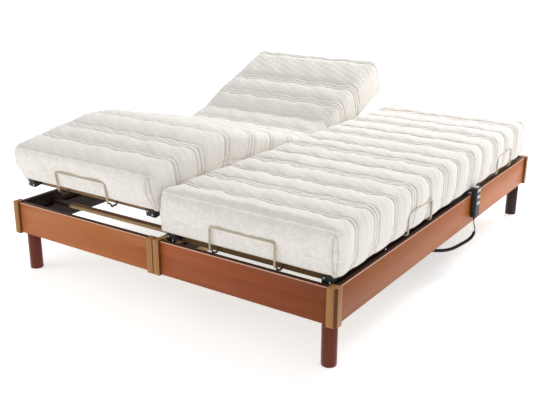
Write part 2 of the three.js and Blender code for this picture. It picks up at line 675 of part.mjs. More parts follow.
const handset = () => {
  const group = new THREE.Group();
  group.add(named('handset', handsetBody(), BLACK_PLASTIC));
  for (let i = 0; i < BUTTON_COUNT; i += 1) {
    const z = BUTTON_TOP_Z - i * BUTTON_PITCH;
    group.add(named(`handset_rocker_${i + 1}`, rocker(z), GREY_PLASTIC));
  }
  group.add(named('handset_lead', tube(smooth(LEAD_ROUTE, 10), LEAD_RADIUS), RUBBER));
  group.add(named('handset_curl', tube(smooth(CURL_ROUTE, 36), CURL_RADIUS, 10), RUBBER));
  return group;
};

// ---- bed ----------------------------------------------------------------------------------

const bed = new THREE.Group();
bed.add(outerFrame(), unit('left', true), unit('right', false), handset());

export default bed;
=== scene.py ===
"""Looks of the twin adjustable bed: materials, camera, handset cord, mattresses, fittings and light.
Lengths are metres in the shared frame: X across the bed, Y from foot to head, Z up. The left unit rests
raised, so its mattress is made flat first and then carried to its raised sections."""

import math

import bmesh
import bpy
import numpy as np
from mathutils import Matrix, Vector


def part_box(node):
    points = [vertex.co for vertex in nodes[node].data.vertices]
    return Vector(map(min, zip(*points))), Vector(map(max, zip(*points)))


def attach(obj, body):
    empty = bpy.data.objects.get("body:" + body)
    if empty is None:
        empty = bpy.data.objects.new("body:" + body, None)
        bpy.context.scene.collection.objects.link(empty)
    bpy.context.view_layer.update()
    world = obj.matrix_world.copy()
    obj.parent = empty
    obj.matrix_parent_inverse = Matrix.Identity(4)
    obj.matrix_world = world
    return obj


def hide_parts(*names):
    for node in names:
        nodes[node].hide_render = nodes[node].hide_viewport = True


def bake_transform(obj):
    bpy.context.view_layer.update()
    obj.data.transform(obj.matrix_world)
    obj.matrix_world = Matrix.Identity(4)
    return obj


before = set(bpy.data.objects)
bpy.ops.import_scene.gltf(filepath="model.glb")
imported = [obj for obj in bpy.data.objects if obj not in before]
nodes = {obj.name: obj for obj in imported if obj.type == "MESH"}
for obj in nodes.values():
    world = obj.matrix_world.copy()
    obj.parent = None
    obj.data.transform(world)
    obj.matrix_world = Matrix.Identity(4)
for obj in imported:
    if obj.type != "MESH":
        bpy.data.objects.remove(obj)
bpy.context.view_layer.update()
SIDES = ("left", "right")

# ---- small helpers --------------------------------------------------------------------------


def link(obj):
    bpy.context.scene.collection.objects.link(obj)
    return obj


def shade_smooth(mesh):
    mesh.polygons.foreach_set("use_smooth", [True] * len(mesh.polygons))


def mesh_object(name, verts, faces, material=None):
    mesh = bpy.data.meshes.new(name)
    mesh.from_pydata([tuple(v) for v in verts], [], [tuple(f) for f in faces])
    mesh.validate()
    mesh.update()
    shade_smooth(mesh)
    if material:
        mesh.materials.append(material)
    return link(bpy.data.objects.new(name, mesh))


def from_bmesh(name, bm, material, smooth=True):
    bmesh.ops.recalc_face_normals(bm, faces=bm.faces)
    mesh = bpy.data.meshes.new(name)
    bm.to_mesh(mesh)
    bm.free()
    if smooth:
        shade_smooth(mesh)
    mesh.materials.append(material)
    return link(bpy.data.objects.new(name, mesh))


def bevel(obj, width, angle=32):
    m = obj.modifiers.new("bevel", "BEVEL")
    m.width = width
    m.segments = 2
    m.limit_method = "ANGLE"
    m.angle_limit = math.radians(angle)
    m.harden_normals = True
    return obj


def smoothstep(t):
    t = np.clip(t, 0, 1)
    return t * t * (3 - 2 * t)


def scaled(colour, factor):
    return tuple(c * factor for c in colour)


# ---- material helpers -----------------------------------------------------------------------


class Shader:
    """A Principled material and short calls that add nodes to it."""

    def __init__(self, name, roughness, **sockets):
        self.material = bpy.data.materials.new(name)
        self.material.use_nodes = True
        self.tree = self.material.node_tree
        self.bsdf = self.tree.nodes["Principled BSDF"]
        self.bsdf.inputs["Roughness"].default_value = roughness
        for key, value in sockets.items():
            self.bsdf.inputs[key.replace("_", " ")].default_value = value
        self.height = None
        self.place = None

    def add(self, kind, inputs=None, **attributes):
        node = self.tree.nodes.new(kind)
        for key, value in attributes.items():
            setattr(node, key, value)
        for key, value in (inputs or {}).items():
            self.put(node.inputs[key], value)
        return node

    def put(self, socket, value):
        if isinstance(value, bpy.types.NodeSocket):
            self.tree.links.new(value, socket)
        else:
            socket.default_value = value

    def where(self):
        """Where the surface point is: in the object's own frame unless another place was given."""
        return self.place or self.add("ShaderNodeTexCoord").outputs["Object"]

    def attribute(self, name):
        return self.add("ShaderNodeAttribute", attribute_name=name).outputs["Vector"]

    def coords(self, scale=(1, 1, 1)):
        where = self.where()
        return self.add("ShaderNodeMapping", {"Vector": where, "Scale": scale}).outputs[0]

    def noise(self, scale, stretch=(1, 1, 1), detail=3.0, rough=0.5, distortion=0.0):
        found = self.add(
            "ShaderNodeTexNoise",
            {
                "Vector": self.coords(stretch),
                "Scale": scale,
                "Detail": detail,
                "Roughness": rough,
                "Distortion": distortion,
            },
        )
        return found.outputs["Fac"]

    def math(self, operation, a, b=0.0):
        node = self.add("ShaderNodeMath", operation=operation)
        self.put(node.inputs[0], a)
        self.put(node.inputs[1], b)
        return node.outputs[0]

    def ramp(self, factor, *stops):
        node = self.add("ShaderNodeValToRGB", {"Fac": factor})
        ramp = node.color_ramp
        while len(ramp.elements) < len(stops):
            ramp.elements.new(0.5)
        for element, (place, colour) in zip(ramp.elements, stops):
            element.position = place
            element.color = (*colour, 1)
        return node.outputs["Color"]

    def put_colour(self, socket, value):
        self.put(socket, value if isinstance(value, bpy.types.NodeSocket) else (*value, 1))

    def mix(self, factor, a, b, blend="MIX"):
        """Two colours mixed; 6, 7 and 2 are the colour sockets of the Mix node."""
        node = self.add("ShaderNodeMix", data_type="RGBA", blend_type=blend)
        self.put(node.inputs["Factor"], factor)
        self.put_colour(node.inputs[6], a)
        self.put_colour(node.inputs[7], b)
        return node.outputs[2]

    def span(self, factor, low, high, to_low=0.0, to_high=1.0):
        node = self.add(
            "ShaderNodeMapRange",
            {
                "Value": factor, "From Min": low, "From Max": high,
                "To Min": to_low, "To Max": to_high,
            },
        )
        return node.outputs[0]

    def axis(self, output, index):
        parts = self.add("ShaderNodeSeparateXYZ", {"Vector": output})
        return parts.outputs[index]

    def object_normal(self, index):
        return self.axis(self.add("ShaderNodeTexCoord").outputs["Normal"], index)

    def colour(self, value):
        self.put_colour(self.bsdf.inputs["Base Color"], value)
        return self

    def rough(self, value):
        self.put(self.bsdf.inputs["Roughness"], value)
        return self

    def bump(self, height, strength, distance):
        node = self.add("ShaderNodeBump", {"Height": height, "Strength": strength, "Distance": distance})
        if self.height is not None:
            self.put(node.inputs["Normal"], self.height)
        self.height = node.outputs[0]
        self.put(self.bsdf.inputs["Normal"], self.height)
        return self


GRAIN_STRETCH = 0.055


def grain_stretch(along, across=1.0):
    """Noise scale factors that draw the grain out along one axis."""
    return tuple(GRAIN_STRETCH if i == along else across for i in range(3))


def wood(name, along, tones, roughness=0.4, pores=0.4, inner=None, edge=None, painted_shade_drift=None, coat=0.03):
    """Straight grained lacquered wood or veneer, its grain along one axis.
    inner: (axis, sign) of the face drawn near black: a dark laminate deepened with painted shade.
    edge: (axis, sign, top) of a rail's outer face, whose top is dark and whose upper edge is lightened by a
    painted highlight.
    drift: (axis, low, high, factor) darkens the tone along an axis from low to high, a painted fall-off of
    light and sheen across a rail."""
    dark, mid, light = tones
    s = Shader(name, roughness, Coat_Weight=coat, Coat_Roughness=0.25, Specular_IOR_Level=0.18)
    broad = s.noise(6, grain_stretch(along, 1.2), 4, 0.6, 0.9)
    fine = s.noise(80, grain_stretch(along, 1.0), 5, 0.65)
    pore = s.noise(480, grain_stretch(along, 1.0), 2, 0.5)
    figure = s.math("ADD", s.math("MULTIPLY", broad, 0.66), s.math("MULTIPLY", fine, 0.34))
    tone = s.ramp(figure, (0.36, dark), (0.5, mid), (0.64, light))
    tone = s.mix(s.span(pore, 0.56, 0.72, 0, pores), tone, dark)
    # Painted shade: the rail darkens along one axis as the light and sheen on it fall off.
    if painted_shade_drift:
        axis, low, high, factor = painted_shade_drift
        darker = s.mix(1.0, tone, (factor, factor, factor), "MULTIPLY")
        tone = s.mix(s.span(s.axis(s.where(), axis), low, high), tone, darker)
    if edge:
        axis, sign, top = edge
        outer = s.span(s.math("MULTIPLY", s.object_normal(axis), sign), 0.3, 0.6)
        z = s.axis(s.where(), 2)
        tone = s.mix(s.span(s.object_normal(2), 0.6, 0.85), tone, TOP_EDGE)
        # A painted highlight along the rail's outer top edge.
        wear_and_highlight = s.math("MULTIPLY", outer, s.span(z, top - HIGHLIGHT_FROM, top - HIGHLIGHT_FULL))
        tone = s.mix(s.math("MULTIPLY", wear_and_highlight, 0.8), tone, PAINTED_EDGE_HIGHLIGHT)
    # Inner faces near black: a dark laminate with painted shade, as inside the frame.
    if inner:
        facing = s.span(s.math("MULTIPLY", s.object_normal(inner[0]), inner[1]), 0.5, 0.8)
        tone = s.mix(facing, tone, LAMINATE_AND_SHADE)
    s.colour(tone)
    s.rough(s.span(fine, 0.3, 0.7, roughness - 0.06, roughness + 0.1))
    s.bump(pore, 0.14, 0.0004).bump(fine, 0.10, 0.0006)
    return s.material


def strip_wood(name, tones, corner):
    """Upright grained strip, dark on every side face that lies inside the frame's outline."""
    dark, mid, light = tones
    s = Shader(name, 0.45, Coat_Weight=0.05, Coat_Roughness=0.3, Specular_IOR_Level=0.28)
    fine = s.noise(90, grain_stretch(2), 5, 0.65)
    broad = s.noise(14, grain_stretch(2, 1.3), 3, 0.6)
    figure = s.math("ADD", s.math("MULTIPLY", broad, 0.5), s.math("MULTIPLY", fine, 0.5))
    tone = s.ramp(figure, (0.34, dark), (0.5, mid), (0.66, light))
    for axis, reach in enumerate(corner):
        across = s.span(s.math("ABSOLUTE", s.object_normal(axis)), 0.5, 0.75)
        distance = s.math("ABSOLUTE", s.axis(s.where(), axis))
        inside = s.span(distance, reach - STRIP_EDGE, reach - STRIP_EDGE - 0.002)
        tone = s.mix(s.math("MULTIPLY", across, inside), tone, STRIP_SIDE)
    s.colour(tone)
    s.bump(fine, 0.12, 0.0006)
    return s.material


def bar_shader(name, tones):
    """A plain wood with its grain along X, and its tone, for the bars of the inner frames."""
    s = Shader(name, 0.5, Specular_IOR_Level=0.25)
    fine = s.noise(80, grain_stretch(0), 5, 0.65)
    s.bump(fine, 0.12, 0.0006)
    return s, s.ramp(fine, (0.36, tones[0]), (0.5, tones[1]), (0.64, tones[2]))


def frame_wood(name, tones, bar_from):
    """The under-frame: dark stained ledges and hinge plates, and pale cross bars whose top is darkened with
    painted shade, as under the mattress.
    bar_from: the X at which the cross bars' dark left ends stop."""
    s, tone = bar_shader(name, tones)
    # Painted shade on the cross bars' tops, which lie under the mattress.
    tone = s.mix(s.span(s.object_normal(2), 0.6, 0.85), tone, BAR_TOP_SHADE)
    middle = s.span(s.math("ABSOLUTE", s.axis(s.where(), 1)), END_BAR_Y, END_BAR_Y - 0.002)
    middle = s.math("MAXIMUM", middle, s.span(s.axis(s.where(), 0), bar_from + 0.02, bar_from))
    side = s.span(s.math("ABSOLUTE", s.object_normal(0)), 0.5, 0.7)
    return s.colour(s.mix(s.math("MAXIMUM", middle, side), tone, STAIN_AND_SHADE)).material


def calf_frame_wood(name, tones):
    """Pale end board between the calf frame's side bars, which are drawn near black as painted shade."""
    s, tone = bar_shader(name, tones)
    tone = s.mix(1.0, tone, END_BOARD_SHADE, "MULTIPLY")
    # Painted shade: the side bars' faces drawn near black, as in the dark gap beside the mattress.
    side = s.span(s.math("ABSOLUTE", s.object_normal(0)), 0.5, 0.7)
    return s.colour(s.mix(side, tone, STAIN_AND_SHADE)).material


def wire_coat(name, pale, dark, low, high):
    """Epoxy coated wire, pale above and dark below a height."""
    s = Shader(name, 0.36, Coat_Weight=0.2, Coat_Roughness=0.25)
    cloud = s.noise(45, detail=4)
    tone = s.mix(s.span(cloud, 0.35, 0.7, 0, 0.4), pale, scaled(pale, 0.7))
    lower = s.span(s.axis(s.where(), 2), high, low)
    s.colour(s.mix(lower, tone, dark))
    s.bump(s.noise(900, detail=2), 0.15, 0.0001)
    return s.material


def plastic(name, colour, roughness, wear=0.15):
    """Moulded plastic or plain metal with cloudy, slightly paler wear."""
    s = Shader(name, roughness, Specular_IOR_Level=0.5)
    cloud = s.noise(30, detail=4)
    wear_and_highlight = tuple(min(1, c * 1.5 + 0.02) for c in colour)
    s.colour(s.mix(s.span(cloud, 0.3, 0.7, 0, wear), colour, wear_and_highlight))
    s.rough(s.span(s.noise(60, detail=3), 0.3, 0.7, roughness - 0.06, roughness + 0.1))
    s.bump(s.noise(1400, detail=2), 0.25, 0.00012)
    return s.material


def coated_metal(name, colour, roughness):
    s = Shader(name, roughness, Coat_Weight=0.3, Coat_Roughness=0.25)
    cloud = s.noise(45, detail=4)
    s.colour(s.mix(s.span(cloud, 0.35, 0.7, 0, 0.35), colour, scaled(colour, 0.72)))
    s.rough(s.span(s.noise(120, detail=3), 0.3, 0.7, roughness - 0.08, roughness + 0.12))
    s.bump(s.noise(900, detail=2), 0.15, 0.0001)
    return s.material


def rubber(name, colour):
    s = Shader(name, 0.62, Specular_IOR_Level=0.35)
    s.colour(s.mix(s.span(s.noise(80, detail=4), 0.35, 0.7, 0, 0.4), colour, scaled(colour, 2.2)))
    s.bump(s.noise(1600, detail=2), 0.2, 0.0001)
    return s.material


def ticking(name, tint):
    """Knitted jacquard cover. It reads where a point lies on the flat mattress (cover_place) and how
    strongly it lies in painted shade of a stitched groove or corner crease, belongs to the bottom hem or to
    an end face (cover_marks)."""
    s = Shader(name, 0.88, Sheen_Weight=0.2, Sheen_Roughness=0.5, Specular_IOR_Level=0.2)
    s.place = s.attribute("cover_place")
    marks = s.attribute("cover_marks")
    groove_shade, hem, end = (s.axis(marks, i) for i in range(3))
    cloud = s.noise(6, detail=4)
    bent = s.noise(38, detail=3, distortion=1.6)
    motif = s.add("ShaderNodeTexVoronoi", {"Vector": s.coords(), "Scale": 62, "Randomness": 0.85})
    curled = s.math("ADD", s.math("MULTIPLY", motif.outputs["Distance"], 0.5), bent)
    petal = s.span(curled, 0.62, 0.86)
    knit = s.math("SINE", s.math("MULTIPLY", s.axis(s.coords(), 0), 2 * math.pi / KNIT_STEP))
    loops = s.noise(700, (1, 0.4, 1), 2)
    base = s.mix(s.span(cloud, 0.3, 0.7), tint, scaled(tint, 0.965))
    shade = s.math("ADD", s.math("MULTIPLY", end, 0.45), 0.15)
    woven = tuple(c * f for c, f in zip(tint, MOTIF_SHADE))
    base = s.mix(s.math("MULTIPLY", petal, shade), base, woven)
    base = s.mix(s.span(knit, -1, 1, 0, 0.10), base, scaled(tint, 0.8))
    # Painted shade in the stitched grooves and the corner creases.
    base = s.mix(s.math("MULTIPLY", groove_shade, 0.62), base, GROOVE_SHADE)
    base = s.mix(s.math("MULTIPLY", hem, 0.8), base, HEM)
    s.colour(base)
    s.bump(petal, 0.35, 0.0016).bump(knit, 0.18, 0.0007).bump(loops, 0.3, 0.0005)
    return s.material


def tone_set(mid, spread):
    """Dark, middle and light tones of a wood around one colour."""
    light = tuple(min(1, c * (1 + spread * 0.75)) for c in mid)
    return scaled(mid, 1 - spread), mid, light


# One cherry veneer in four tones, each set to how light falls on its rail: painted sheen on the left foot
# rail, painted shade on the right foot rail, painted light on the right side rail, and painted shade on the
# head rail and the left side rail.
CHERRY_LEFT_PAINTED_SHEEN = tone_set((0.445, 0.138, 0.036), 0.24)
CHERRY_RIGHT_PAINTED_SHADE = tone_set((0.355, 0.082, 0.020), 0.24)
CHERRY_SIDE_PAINTED_LIGHT = tone_set((0.465, 0.124, 0.017), 0.22)
CHERRY_FAR_PAINTED_SHADE = tone_set((0.36, 0.110, 0.036), 0.22)
TAN = tone_set((0.375, 0.166, 0.049), 0.22)
BAR = tone_set((0.58, 0.40, 0.20), 0.18)
BIRCH = tone_set((0.66, 0.51, 0.33), 0.16)
LEG = tone_set((0.130, 0.020, 0.006), 0.30)
LEG_SHADED = tone_set((0.020, 0.006, 0.004), 0.30)
TOP_EDGE = (0.060, 0.024, 0.014)
# Painted highlight along the rails' outer top edge.
PAINTED_EDGE_HIGHLIGHT = (0.86, 0.52, 0.38)
# Dark laminate with painted shade, on the rails' inner faces.
LAMINATE_AND_SHADE = (0.020, 0.010, 0.008)
# Painted shade on the under-frame cross bars' tops.
BAR_TOP_SHADE = (0.16, 0.075, 0.032)
# Near black: a dark stain on the under-frame and the thigh frame, and painted shade on the calf frame's side
# bars.
STAIN_AND_SHADE = (0.030, 0.017, 0.012)
END_BOARD_SHADE = (0.50, 0.42, 0.36)
STRIP_SIDE = (0.13, 0.055, 0.024)
HIGHLIGHT_FROM, HIGHLIGHT_FULL = 0.0046, 0.0034  # depths below a rail's top between which its painted highlight fades in
STRIP_EDGE = 0.004  # how far inside the frame's outline a strip's side face turns dark
END_BAR_Y = 0.812  # the under-frame's cross bars lie beyond this distance from the middle
BAR_DARK_END = 0.120  # length of a cross bar's dark left end
IVORY, WIRE_DARK = (0.50, 0.44, 0.31), (0.055, 0.040, 0.026)
WIRE_DARK_TO, WIRE_FADE = 0.022, 0.012  # height of a foot retainer's dark part, and of the change
FABRIC = (0.890, 0.856, 0.804)
# Painted shade laid in stitched grooves and creases.
GROOVE_SHADE = (0.50, 0.46, 0.40)
HEM = (0.52, 0.41, 0.27)
MOTIF_SHADE = (0.87, 0.865, 0.85)
KNIT_STEP = 0.009

# ---- camera ---------------------------------------------------------------------------------

CAMERA_PLACE, CAMERA_WAY = (1.9995, -3.1413, 1.4430), (-0.5357, 0.7801, -0.3233)
CAMERA_LENS, CAMERA_SENSOR = 53.23, 36

camera_data = bpy.data.cameras.new("camera")
camera_data.sensor_width = CAMERA_SENSOR
camera_data.lens = CAMERA_LENS
camera = link(bpy.data.objects.new("camera", camera_data))
camera.location = CAMERA_PLACE
camera.rotation_euler = Vector(CAMERA_WAY).to_track_quat("-Z", "Y").to_euler()
bpy.context.scene.camera = camera

# ---- handset cord ---------------------------------------------------------------------------

MM = 0.001
# Points of the cord's path in millimetres, from the handset to the right drive's socket.
LEAD_ROUTE = [
    (830, 235, 197.7), (830.5, 234, 187), (837, 226, 174), (845.5, 215.4, 163), (846.6, 212.5, 155.4),
]
CURL_ROUTE = [
    (846.4, 212.2, 154), (844, 209, 138), (839, 196, 122), (833.6, 163, 115.5), (825, 114, 112.8),
    (814, 48, 112.2), (804, -12, 120), (793, -84, 139), (770, -128, 152), (735, -130, 158),
    (695, -95, 162), (655, -30, 167), (620, 40, 173), (590, 105, 180), (560, 143, 188),
    (532, 150, 190), (506.6, 150, 190),
]
WIRE = 0.0044
CURL_RADIUS = 0.0054
CURL_PITCH = 0.0053
TURN_POINTS = 14
CURL_START, CURL_END = 0.012, 0.016  # lengths over which the coil opens and closes


def catmull_rom(points, steps):
    """A smooth line through points given in millimetres."""
    p = np.array(points, float) * MM
    p = np.vstack([2 * p[0] - p[1], p, 2 * p[-1] - p[-2]])
    found = []
    for i in range(1, len(p) - 2):
        for t in np.linspace(0, 1, steps, endpoint=False):
            a = 2 * p[i] + (p[i + 1] - p[i - 1]) * t
            b = (2 * p[i - 1] - 5 * p[i] + 4 * p[i + 1] - p[i + 2]) * t * t
            c = (3 * p[i] - p[i - 1] - 3 * p[i + 1] + p[i + 2]) * t**3
            found.append((a + b + c) / 2)
    return np.array(found + [p[-2]])


def even_steps(line, step):
    gaps = np.linalg.norm(np.diff(line, axis=0), axis=1)
    along = np.concatenate([[0], np.cumsum(gaps)])
    wanted = np.linspace(0, along[-1], max(2, round(along[-1] / step)))
    return np.stack([np.interp(wanted, along, line[:, k]) for k in range(3)], 1), wanted


def side_vectors(line):
    """Two unit vectors across a line at each point, carried along it without twist."""
    tangents = np.gradient(line, axis=0)
    tangents /= np.linalg.norm(tangents, axis=1)[:, None]
    u = np.cross(tangents[0], (0.3, 0.2, 1.0))
    us, vs = [], []
    for t in tangents:
        u = u - t * (u @ t)
        u = u / np.linalg.norm(u)
        us.append(u)
        vs.append(np.cross(t, u))
    return np.array(us), np.array(vs)


def curl_line():
    core, along = even_steps(catmull_rom(CURL_ROUTE, 36), CURL_PITCH / TURN_POINTS)
    u, v = side_vectors(core)
    reach = smoothstep(along / CURL_START) * smoothstep((along[-1] - along) / CURL_END)
    angle = along / CURL_PITCH * 2 * math.pi
    out_u = (CURL_RADIUS * reach * np.cos(angle))[:, None] * u
    out_v = (CURL_RADIUS * reach * np.sin(angle))[:, None] * v
    return core + (out_u + out_v)


def poly_curve(name, points, radius, material):
    data = bpy.data.curves.new(name, "CURVE")
    data.dimensions = "3D"
    data.bevel_depth = radius
    data.bevel_resolution = 2
    data.use_fill_caps = True
    spline = data.splines.new("POLY")
    spline.points.add(len(points) - 1)
    spline.points.foreach_set("co", np.hstack([points, np.ones((len(points), 1))]).ravel())
    data.materials.append(material)
    return link(bpy.data.objects.new(name, data))


cord_material = rubber("cord_rubber", (0.005, 0.005, 0.006))
lead = catmull_rom(LEAD_ROUTE, 6)
cord_points = np.vstack([lead[:-1], curl_line()])
cord = poly_curve("handset_cord", cord_points, WIRE / 2, cord_material)
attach(cord, "base")
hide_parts("handset_lead", "handset_curl")

# ---- mattresses -----------------------------------------------------------------------------

HINGE_Z = 0.320
THIGH_HINGE, BACK_HINGE, KNEE = 0.050, 0.250, -0.560
LEFT_BACK, LEFT_THIGH, KNEE_RATIO = math.radians(22), math.radians(12.7), 1.63
BEND_REACH = {"knee": (0.05, 0.15), "thigh": (0.11, 0.20), "back": (0.12, 0.32)}  # along Y, below and on top
MATTRESS_LOW, MATTRESS_THICK = 0.345, 0.17
SEAM_Z = 0.400
FOOT_EDGE_LINE = (-0.985, 1)
# Stitched lines across the mattress: the Y of each group and the number of lines in it.
STITCHES = [
    FOOT_EDGE_LINE, (-0.865, 2), (-0.720, 3), (-0.562, 2), (-0.405, 3), (-0.245, 2), (-0.088, 3),
    (0.055, 2), (0.208, 3), (0.350, 2), (0.510, 3), (0.660, 2), (0.815, 3), (0.945, 2),
]
STITCH_GAP = {1: 0.0, 2: 0.020, 3: 0.023}
DEPTH = {"left": 0.62, "right": 1.0}  # the raised mattress is drawn tight, so its quilting is shallower
WAVE_SEED = {"left": 1.0, "right": 4.2}
TOP_ROUND, LOW_ROUND, CORNER_ROUND, CORNER_SHARE = 0.040, 0.018, 0.050, 0.75
EDGE_INSET = 0.0125
TUCK_Z, TUCK_REACH, TUCK_WIDTH = 0.430, 0.075, 0.012
TUCK_HEIGHT, FOLD_DEPTH, FOLD_WIDTH = 0.0042, 0.0050, 0.0034
CROWN, GROOVE_DEPTH, GROOVE_WIDTH = 0.0046, 0.0032, 0.0032
# The marks below set how much painted shade lies in a stitched groove or a corner crease.
SIDE_MARK, TOP_MARK, CREASE_MARK = 1.5, 0.8, 0.55  # how dark a line or crease is drawn
SAG, OVERHANG = 0.009, 0.379
HOOP_TOP, HOOP_X, FOOT_LEAN = 0.432, -0.415, 0.030
TOUCH, NEAR = 0.0008, 0.0035
CLOTH_GRID, CLOTH_FRAMES, COVER_CAP = (21, 134, 9), 20, 0.006


def stitch_lines(side):
    """The foot edge's single line is on the left mattress only, which has fewer lines near its head."""
    if side == "left":
        head = [(0.365, 2), (0.525, 3), (0.690, 3), (0.950, 2)]
        groups = [g for g in STITCHES if g[0] < 0.3] + head
    else:
        groups = [g for g in STITCHES if g != FOOT_EDGE_LINE]
    return np.array([y + (i - (n - 1) / 2) * STITCH_GAP[n] for y, n in groups for i in range(n)])


def shell(nx, ny, nz):
    """Numbering and quads of the surface of a box of nx × ny × nz grid points."""
    surface = np.ones((nx, ny, nz), bool)
    surface[1:-1, 1:-1, 1:-1] = False
    number = np.full((nx, ny, nz), -1)
    number[surface] = np.arange(surface.sum())

    def quads(grid, flip):
        q = np.stack([grid[:-1, :-1], grid[1:, :-1], grid[1:, 1:], grid[:-1, 1:]], -1).reshape(-1, 4)
        return q[:, ::-1] if flip else q

    faces = np.vstack([
        quads(number[:, :, -1], False), quads(number[:, :, 0], True),
        quads(number[:, 0], False), quads(number[:, -1], True),
        quads(number[0], True), quads(number[-1], False),
    ])
    return np.argwhere(surface), faces


def refined(low, high, step, fine_places, fine_step, reach):
    """Sorted grid values: step apart, and fine_step apart within reach of each fine place."""
    values = list(np.linspace(low, high, round((high - low) / step) + 1))
    for place in fine_places:
        values = [v for v in values if abs(v - place) > reach + fine_step * 0.6]
    for place in fine_places:
        values += list(place + np.arange(-reach, reach + 1e-9, fine_step))
    values = sorted(v for v in values if low <= v <= high)
    kept = [low]
    for v in values:
        if v - kept[-1] > fine_step * 0.55:
            kept.append(v)
    if high - kept[-1] < fine_step * 0.55:
        kept[-1] = high
    else:
        kept.append(high)
    return np.array(kept)


def soften(p, lo, hi):
    """Box points moved onto a box with rounded edges and well rounded upright corners."""
    centre = (np.array(lo) + np.array(hi)) / 2
    half = (np.array(hi) - np.array(lo)) / 2
    q = p - centre
    r = np.where(q[:, 2] > 0, TOP_ROUND, LOW_ROUND)[:, None]
    inner = np.clip(q, -half + r, half - r)
    d = q - inner
    length = np.maximum(np.linalg.norm(d, axis=1), 1e-9)[:, None]
    q = inner + d / length * r
    edge = half[:2] - CORNER_ROUND
    c = (np.abs(q[:, :2]) - edge) / CORNER_ROUND
    both = (c > 0).all(1)
    a, b = c[both, 0], c[both, 1]
    round_a, round_b = a * np.sqrt(1 - b * b / 2), b * np.sqrt(1 - a * a / 2)
    new = np.stack([a + (round_a - a) * CORNER_SHARE, b + (round_b - b) * CORNER_SHARE], 1)
    q[both, :2] = np.sign(q[both, :2]) * (edge + new * CORNER_ROUND)
    return q + centre


def vertex_normals(verts, faces):
    first = verts[faces[:, 2]] - verts[faces[:, 0]]
    second = verts[faces[:, 3]] - verts[faces[:, 1]]
    n = np.cross(first, second)
    total = np.zeros_like(verts)
    for k in range(4):
        np.add.at(total, faces[:, k], n)
    return total / np.maximum(np.linalg.norm(total, axis=1), 1e-12)[:, None]


def cubic_weights(nodes_at, wanted):
    """Rows of weights that interpolate values at nodes_at smoothly to the wanted places."""
    n = len(nodes_at)
    at = np.interp(wanted, nodes_at, np.arange(n))
    i = np.clip(np.floor(at).astype(int), 0, n - 2)
    t = at - i
    w = np.zeros((len(wanted), n))
    rows = np.arange(len(wanted))
    for shift, value in (
        (-1, (-t + 2 * t**2 - t**3) / 2),
        (0, (2 - 5 * t**2 + 3 * t**3) / 2),
        (1, (t + 4 * t**2 - 3 * t**3) / 2),
        (2, (-(t**2) + t**3) / 2),
    ):
        np.add.at(w, (rows, np.clip(i + shift, 0, n - 1)), value)
    return w


def plain_puff(y, stitching):
    """Crown of the cover between one stitched line and the next, 0 to 1."""
    lines = np.array([-1.06, *stitching, 1.06])
    k = np.clip(np.searchsorted(lines, y), 1, len(lines) - 1)
    width = lines[k] - lines[k - 1]
    t = np.clip((y - lines[k - 1]) / width, 0, 1)
    crown = 1 - np.abs(2 * t - 1) ** 2.4
    return crown * np.clip(width / 0.11, 0.1, 1)


def blown_cover(lo, hi, stitching):
    """How far the cover swells, simulated as cloth under pressure and pinned along its stitching.
    Returns the coarse grid and the displacement at its points."""
    xs, ys, zs = (np.linspace(a, b, n) for a, b, n in zip(lo, hi, CLOTH_GRID))
    ijk, faces = shell(len(xs), len(ys), len(zs))
    flat = np.stack([xs[ijk[:, 0]], ys[ijk[:, 1]], zs[ijk[:, 2]]], 1)
    start = soften(flat, lo, hi)
    shown = np.zeros((len(xs), len(ys), len(zs), 3))
    cover = mesh_object("cover", start, faces)
    step = ys[1] - ys[0]
    near_line = np.min(np.abs(flat[:, 1:2] - stitching), axis=1) < step * 0.5
    near_seam = np.abs(flat[:, 2] - SEAM_Z) < 0.012
    held = near_line & (flat[:, 2] > SEAM_Z) & (ijk[:, 1] > 0) & (ijk[:, 1] < len(ys) - 1)
    held |= near_seam | (ijk[:, 2] == 0)
    group = cover.vertex_groups.new(name="held")
    group.add([int(i) for i in np.nonzero(held)[0]], 1.0, "REPLACE")
    cloth = cover.modifiers.new("cloth", "CLOTH")
    cloth.settings.quality = 4
    cloth.settings.use_pressure = True
    cloth.settings.uniform_pressure_force = 4
    cloth.settings.effector_weights.gravity = 0
    cloth.settings.vertex_group_mass = "held"
    cloth.settings.tension_stiffness = 12
    cloth.settings.compression_stiffness = 12
    cloth.settings.bending_stiffness = 0.6
    for number in range(1, CLOTH_FRAMES + 1):
        bpy.context.scene.frame_set(number)
    settled = cover.evaluated_get(bpy.context.evaluated_depsgraph_get()).to_mesh()
    co = np.zeros(len(settled.vertices) * 3)
    settled.vertices.foreach_get("co", co)
    moved = co.reshape(-1, 3) - start
    length = np.maximum(np.linalg.norm(moved, axis=1), 1e-9)
    moved *= (np.minimum(length, COVER_CAP) / length)[:, None]
    bpy.data.objects.remove(cover)
    bpy.context.scene.frame_set(1)
    shown[ijk[:, 0], ijk[:, 1], ijk[:, 2]] = moved
    return (xs, ys, zs), shown


def swell_at(blown, grid):
    """The simulated displacement carried to a finer grid, side by side."""
    coarse, shown = blown
    wx, wy, wz = (cubic_weights(c, g) for c, g in zip(coarse, grid))
    nx, ny, nz = (len(g) for g in grid)
    out = np.zeros((nx, ny, nz, 3))
    for k in (0, -1):
        out[:, :, k] = np.einsum("ai,ijc,bj->abc", wx, shown[:, :, k], wy)
        out[:, k] = np.einsum("ai,ikc,bk->abc", wx, shown[:, k], wz)
        out[k] = np.einsum("aj,jkc,bk->abc", wy, shown[k], wz)
    return out


def wave(seed, *terms):
    """A smooth irregular wave from a few sines: terms are (value, cycles per metre, size)."""
    total = 0
    for n, (value, cycles, size) in enumerate(terms):
        total = total + size * np.sin(2 * math.pi * cycles * value + seed * 1.7 + n * 2.3)
    return total


